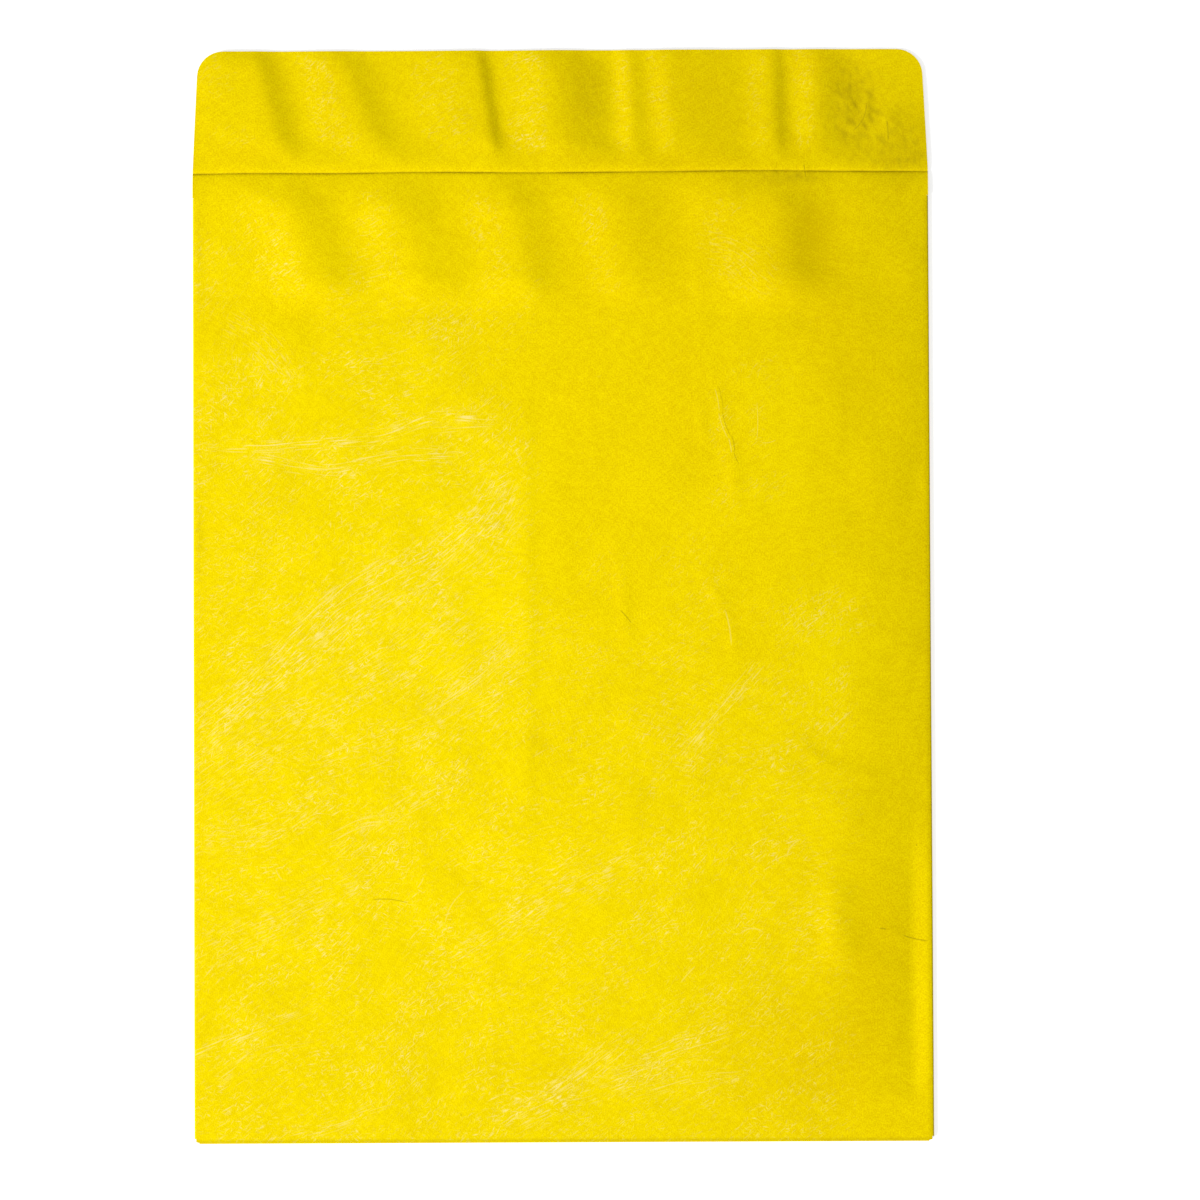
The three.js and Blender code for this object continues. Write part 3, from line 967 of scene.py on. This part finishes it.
# Folding: the wings turn under at the side folds and lap at the seam, the bottom flap turns up over
# them, and the front is left standing a little open at the mouth. The flat sheet then gets its thickness.
POCKET_CROWN = 3.3
CROWN_RUN = 120.0
CROWN_FALL = 2.0
CROWN_FALL_POWER = 4.0
LATE_RISE = 36.0
LATE_SHARE = 0.6
FLAP_SETTLE = 0.9
FLAP_DROP = 0.5
FOLD_END_SLACK = 0.01
WELD = 0.005
arch_peak = (1 / (CROWN_FALL * CROWN_FALL_POWER)) ** (1 / (CROWN_FALL_POWER - 1))
arch_top = 1 + arch_peak - CROWN_FALL * arch_peak ** CROWN_FALL_POWER
fold = bpy.data.node_groups.new("fold_the_blank", "GeometryNodeTree")
fold.interface.new_socket("Geometry", in_out="INPUT", socket_type="NodeSocketGeometry")
fold_sizes = {
    "Side fold": side_fold,
    "Side spread": SIDE_SPREAD / flap_tip,
    "Side fold radius": FOLD_INNER_RADIUS,
    "Side fold end": throat,
    "Bottom fold": bottom_fold,
    "Bottom fold radius": bottom_fold_radius,
    "Front level": front_inner_level,
    "Crown": POCKET_CROWN,
    "Crown run": CROWN_RUN,
    "Late rise": LATE_RISE,
    "Flap foot": crease,
    "Flap tip": flap_tip,
    "Flap settle": FLAP_SETTLE,
    "Flap drop": FLAP_DROP,
    "Seam step foot": SEAM_OVERLAP / 2 + SEAM_EDGE_GAP + SEAM_STEP_LENGTH,
    "Seam step top": SEAM_OVERLAP / 2 + SEAM_EDGE_GAP,
    "Seam lift": SHEET_THICKNESS + LAYER_GAP,
    "Thickness": SHEET_THICKNESS,
}
fold_inputs = {}
for name in fold_sizes:
    fold_inputs[name] = fold.interface.new_socket(name, in_out="INPUT", socket_type="NodeSocketFloat")
fold_inputs["Sheet"] = fold.interface.new_socket("Sheet", in_out="INPUT", socket_type="NodeSocketMaterial")
fold.interface.new_socket("Geometry", in_out="OUTPUT", socket_type="NodeSocketGeometry")
given = fold.nodes.new("NodeGroupInput").outputs
flat_place = fold.nodes.new("GeometryNodeInputPosition").outputs[0]
spot = node(fold, "ShaderNodeSeparateXYZ", {0: flat_place}).outputs
u, v, emboss = spot["X"], spot["Y"], spot["Z"]

fold_here = calc(fold, "SUBTRACT", given["Side fold"], calc(fold, "MULTIPLY", v, given["Side spread"]))
past_side = calc(fold, "SUBTRACT", calc(fold, "ABSOLUTE", u), fold_here)
below_throat = calc(fold, "LESS_THAN", v, calc(fold, "ADD", given["Side fold end"], FOLD_END_SLACK * MM))
past_side = calc(fold, "MULTIPLY", past_side, below_throat)
side_angle = calc(fold, "DIVIDE", calc(fold, "MAXIMUM", past_side, 0.0), given["Side fold radius"])
side_angle = calc(fold, "MINIMUM", side_angle, math.pi)
side_round = calc(fold, "MULTIPLY", given["Side fold radius"], math.pi)
under = calc(fold, "MAXIMUM", calc(fold, "SUBTRACT", past_side, side_round), 0.0)
flat_part = calc(fold, "SUBTRACT", calc(fold, "ABSOLUTE", u), calc(fold, "MAXIMUM", past_side, 0.0))
x = calc(fold, "MULTIPLY_ADD", calc(fold, "SINE", side_angle), given["Side fold radius"], flat_part)
x = calc(fold, "MULTIPLY", calc(fold, "SUBTRACT", x, under), calc(fold, "SIGN", u))
side_drop = calc(fold, "SUBTRACT", calc(fold, "COSINE", side_angle), 1.0)
side_drop = calc(fold, "MULTIPLY", side_drop, given["Side fold radius"])

past_bottom = calc(fold, "MAXIMUM", calc(fold, "SUBTRACT", given["Bottom fold"], v), 0.0)
bottom_angle = calc(fold, "MINIMUM", calc(fold, "DIVIDE", past_bottom, given["Bottom fold radius"]), math.pi)
bottom_round = calc(fold, "MULTIPLY", given["Bottom fold radius"], math.pi)
back_up = calc(fold, "MAXIMUM", calc(fold, "SUBTRACT", past_bottom, bottom_round), 0.0)
bottom_swing = calc(fold, "MULTIPLY", calc(fold, "SINE", bottom_angle), given["Bottom fold radius"])
y = calc(fold, "SUBTRACT", calc(fold, "MAXIMUM", v, given["Bottom fold"]), bottom_swing)
y = calc(fold, "ADD", y, back_up)
bottom_drop = calc(fold, "SUBTRACT", calc(fold, "COSINE", bottom_angle), 1.0)
bottom_drop = calc(fold, "MULTIPLY", bottom_drop, given["Bottom fold radius"])

share = calc(fold, "DIVIDE", u, fold_here)
share = calc(fold, "MAXIMUM", calc(fold, "MINIMUM", share, 1.0), -1.0)
right_fall = calc(fold, "POWER", calc(fold, "MAXIMUM", share, 0.0), CROWN_FALL_POWER)
arch = calc(fold, "MULTIPLY_ADD", right_fall, -CROWN_FALL, calc(fold, "ADD", share, 1.0))
arch = calc(fold, "DIVIDE", arch, arch_top)
late = ramp(fold, share, 0.0, LATE_SHARE, 0.0, given["Late rise"])
crown_end = calc(fold, "ADD", given["Bottom fold"], given["Crown run"])
rise = ramp(fold, calc(fold, "SUBTRACT", v, late), given["Bottom fold"], crown_end)
settled = ramp(fold, v, given["Flap foot"], given["Flap tip"], shape="LINEAR")
rise = calc(fold, "SUBTRACT", rise, calc(fold, "MULTIPLY", settled, given["Flap settle"]))
crown = calc(fold, "MULTIPLY", calc(fold, "MULTIPLY", arch, rise), given["Crown"])
crown = calc(fold, "SUBTRACT", crown, calc(fold, "MULTIPLY", settled, given["Flap drop"]))
lap = ramp(fold, x, given["Seam step foot"], given["Seam step top"], 0.0, given["Seam lift"])
lap = calc(fold, "MULTIPLY", lap, calc(fold, "GREATER_THAN", under, 0.0))
lap = calc(fold, "MULTIPLY", lap, calc(fold, "GREATER_THAN", u, 0.0))
z = calc(fold, "ADD", given["Front level"], calc(fold, "ADD", side_drop, bottom_drop))
z = calc(fold, "ADD", z, calc(fold, "ADD", crown, lap))
z = calc(fold, "ADD", z, emboss)
folded = node(fold, "ShaderNodeCombineXYZ", {"X": x, "Y": y, "Z": z}).outputs[0]
inner = node(fold, "GeometryNodeSetPosition", {"Geometry": given["Geometry"], "Position": folded}).outputs[0]
inner = node(fold, "GeometryNodeSetShadeSmooth", {0: inner, "Shade Smooth": True}).outputs[0]
thickened = node(
    fold, "GeometryNodeExtrudeMesh",
    {"Mesh": inner, "Offset Scale": given["Thickness"], "Individual": False},
)
rim = thickened.outputs["Side"]


def mark_faces(faces, name, value):
    """The faces with a value stored on each of them."""
    made = node(
        fold, "GeometryNodeStoreNamedAttribute", {"Geometry": faces, "Name": name, "Value": value},
        data_type="FLOAT", domain="FACE",
    )
    return made.outputs[0]


outer = mark_faces(thickened.outputs["Mesh"], "cut_edge", rim)
outer = node(
    fold, "GeometryNodeSetShadeSmooth", {0: outer, "Selection": rim, "Shade Smooth": False}, domain="EDGE",
).outputs[0]
inner = node(fold, "GeometryNodeFlipFaces", {0: inner}).outputs[0]
inner = mark_faces(inner, "inside", 1.0)
both = fold.nodes.new("GeometryNodeJoinGeometry")
fold.links.new(inner, both.inputs[0])
fold.links.new(outer, both.inputs[0])
closed = node(fold, "GeometryNodeMergeByDistance", {"Geometry": both.outputs[0], "Distance": WELD * MM})
closed = closed.outputs[0]
closed = node(fold, "GeometryNodeRealizeInstances", {"Geometry": closed}).outputs[0]
closed = node(fold, "GeometryNodeSetMaterial", {"Geometry": closed, "Material": given["Sheet"]}).outputs[0]
node(fold, "NodeGroupOutput", {0: closed})

folding = envelope.modifiers.new("fold", "NODES")
folding.node_group = fold
SCALE_FREE = {"Side spread", "Flap settle"}
for name, value in fold_sizes.items():
    folding[fold_inputs[name].identifier] = value if name in SCALE_FREE else value * MM
folding[fold_inputs["Sheet"].identifier] = finish
bpy.context.view_layer.update()
evaluated = envelope.evaluated_get(bpy.context.evaluated_depsgraph_get())
envelope_mesh = bpy.data.meshes.new_from_object(evaluated)
envelope.modifiers.remove(folding)
envelope.data = envelope_mesh
bpy.data.meshes.remove(blank_mesh)
envelope_mesh.name = "envelope"

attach(envelope, "root")
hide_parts("envelope_sheet")

# The table: a plain white top under the envelope, which keeps the faint shadow round its edges.
# It looks white to the camera and to gloss, and sends an ordinary pale light back to the sheet.
TABLE_HALF = 3.0
TABLE_PALE = (0.82, 0.82, 0.82, 1)
TABLE_LIFT = 0.6
TABLE_ROUGHNESS = 0.9
table_mesh = bpy.data.meshes.new("table")
table_mesh.from_pydata(
    [(-TABLE_HALF, -TABLE_HALF, 0), (TABLE_HALF, -TABLE_HALF, 0),
     (TABLE_HALF, TABLE_HALF, 0), (-TABLE_HALF, TABLE_HALF, 0)],
    [], [(0, 1, 2, 3)],
)
table = bpy.data.objects.new("table", table_mesh)
bpy.context.scene.collection.objects.link(table)
table_finish = bpy.data.materials.new("white_table")
table_finish.use_nodes = True
table_tree = table_finish.node_tree
table_shader = table_tree.nodes["Principled BSDF"]
table_shader.inputs["Base Color"].default_value = TABLE_PALE
table_shader.inputs["Roughness"].default_value = TABLE_ROUGHNESS
table_shader.inputs["Specular IOR Level"].default_value = 0.0
seen_by = table_tree.nodes.new("ShaderNodeLightPath").outputs
seen = calc(table_tree, "MAXIMUM", seen_by["Is Camera Ray"], seen_by["Is Glossy Ray"])
seen = calc(table_tree, "MAXIMUM", seen, seen_by["Is Transmission Ray"])
table_shader.inputs["Emission Color"].default_value = (1, 1, 1, 1)
lift = calc(table_tree, "MULTIPLY", seen, TABLE_LIFT)
table_tree.links.new(lift, table_shader.inputs["Emission Strength"])
table_mesh.materials.append(table_finish)

# The light: one broad soft lamp low on the left, which rakes across the ripples, and an even white room
# that fills the shade. Together they light a flat sheet to about the level its colour is written at.
ROOM_LEVEL = 0.392
world = bpy.data.worlds.new("white_room")
bpy.context.scene.world = world
world.use_nodes = True
room = world.node_tree
background = room.nodes["Background"]
background.inputs["Color"].default_value = (1, 1, 1, 1)
seen_by = room.nodes.new("ShaderNodeLightPath").outputs
seen = calc(room, "MAXIMUM", seen_by["Is Camera Ray"], seen_by["Is Transmission Ray"])
level = calc(room, "MULTIPLY_ADD", seen, 1.0 - ROOM_LEVEL, ROOM_LEVEL)
room.links.new(level, background.inputs["Strength"])

LAMP_PLACE = Vector((-3.53, -1.88, 2.03))
LAMP_WATTS = 280.0
LAMP_WIDTH = 2.1
lamp_data = bpy.data.lights.new("soft_lamp", "AREA")
lamp_data.shape = "DISK"
lamp_data.size = LAMP_WIDTH
lamp_data.energy = LAMP_WATTS
lamp = bpy.data.objects.new("soft_lamp", lamp_data)
lamp.location = LAMP_PLACE
lamp.rotation_euler = (-LAMP_PLACE).to_track_quat("-Z", "Y").to_euler()
bpy.context.scene.collection.objects.link(lamp)

# The camera: straight above the table, with a long lens, turned by the quarter degree at which the
# envelope lies in the photograph and framed as it is there.
LENS = 100.0
SENSOR = 36.0
PHOTO_PIXELS = 1200
frame_width = PHOTO_PIXELS / PHOTO_SCALE
camera_data = bpy.data.cameras.new("camera")
camera_data.lens = LENS
camera_data.sensor_width = SENSOR
camera = bpy.data.objects.new("camera", camera_data)
middle_x, middle_y = from_photo(PHOTO_PIXELS / 2, PHOTO_PIXELS / 2)
camera_height = frame_width * LENS / SENSOR + front_inner_level
camera.location = (middle_x * MM, middle_y * MM, camera_height * MM)
camera.rotation_euler = (0, 0, -PHOTO_TURN)
bpy.context.scene.collection.objects.link(camera)
bpy.context.scene.camera = camera
bpy.context.scene.view_settings.view_transform = "Standard"
